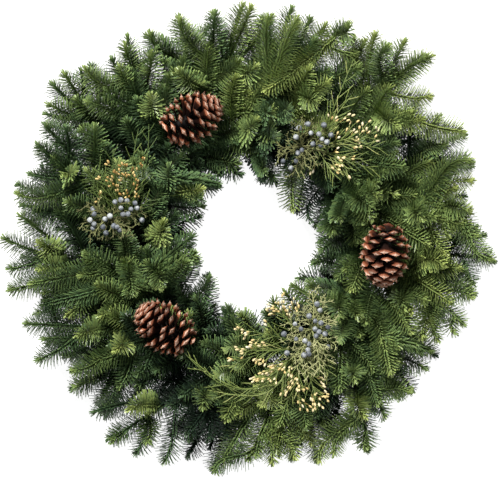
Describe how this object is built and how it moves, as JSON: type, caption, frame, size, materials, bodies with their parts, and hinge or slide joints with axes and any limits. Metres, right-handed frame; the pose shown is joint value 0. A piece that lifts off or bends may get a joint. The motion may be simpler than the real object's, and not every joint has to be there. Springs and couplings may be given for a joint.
{
  "type": "fir christmas wreath",
  "caption": "Round wreath of needled fir boughs swept one way round a clamp ring, with pine cones, cedar sprays and juniper berries.",
  "frame": {"origin": "middle of the underside, on the surface that the wreath lies on", "axes": "+Z out of the wreath's face, +Y towards its top as it hangs, +X to the viewer's right"},
  "size_m": [0.6996, 0.6648, 0.1249],
  "materials": {
    "ring_wire": "dark green lacquered steel wire",
    "florist_wire": "thin green florist's wire",
    "fir": "fresh fir needles on green-brown twigs",
    "cone_scale": "dry red-brown woody cone scales",
    "cedar": "yellow-green cedar strands with golden pollen cones",
    "juniper": "blue-grey waxy juniper berries on grey-green twigs"
  },
  "bodies": {
    "root": {"ring_frame": "ring_wire", "cone_upper_left": "cone_scale", "cone_lower_left": "cone_scale", "cone_right": "cone_scale", "cone_upper_left_wire": "florist_wire", "cone_lower_left_wire": "florist_wire", "cone_right_wire": "florist_wire", "cedar_upper_right": "cedar", "cedar_left": "cedar", "cedar_lower_right": "cedar", "juniper_upper_right": "juniper", "juniper_left": "juniper", "juniper_lower_right": "juniper", "fir_crest_01": "fir", "fir_crest_02": "fir", "fir_crest_03": "fir", "fir_crest_04": "fir", "fir_crest_05": "fir", "fir_crest_06": "fir", "fir_crest_07": "fir", "fir_crest_08": "fir", "fir_crest_09": "fir", "fir_crest_10": "fir", "fir_high_01": "fir", "fir_high_02": "fir", "fir_high_03": "fir", "fir_high_04": "fir", "fir_high_05": "fir", "fir_high_06": "fir", "fir_high_07": "fir", "fir_high_08": "fir", "fir_high_09": "fir", "fir_high_10": "fir", "fir_high_11": "fir", "fir_high_12": "fir", "fir_low_01": "fir", "fir_low_02": "fir", "fir_low_03": "fir", "fir_low_04": "fir", "fir_low_05": "fir", "fir_low_06": "fir", "fir_low_07": "fir", "fir_low_08": "fir", "fir_low_09": "fir", "fir_low_10": "fir", "fir_low_11": "fir", "fir_low_12": "fir", "fir_inner_01": "fir", "fir_inner_02": "fir", "fir_inner_03": "fir", "fir_inner_04": "fir", "fir_inner_05": "fir", "fir_inner_06": "fir", "fir_inner_07": "fir", "fir_inner_08": "fir", "fir_inner_09": "fir", "fir_inner_10": "fir", "fir_inner_11": "fir", "fir_inner_12": "fir"}
  },
  "joints": []
}
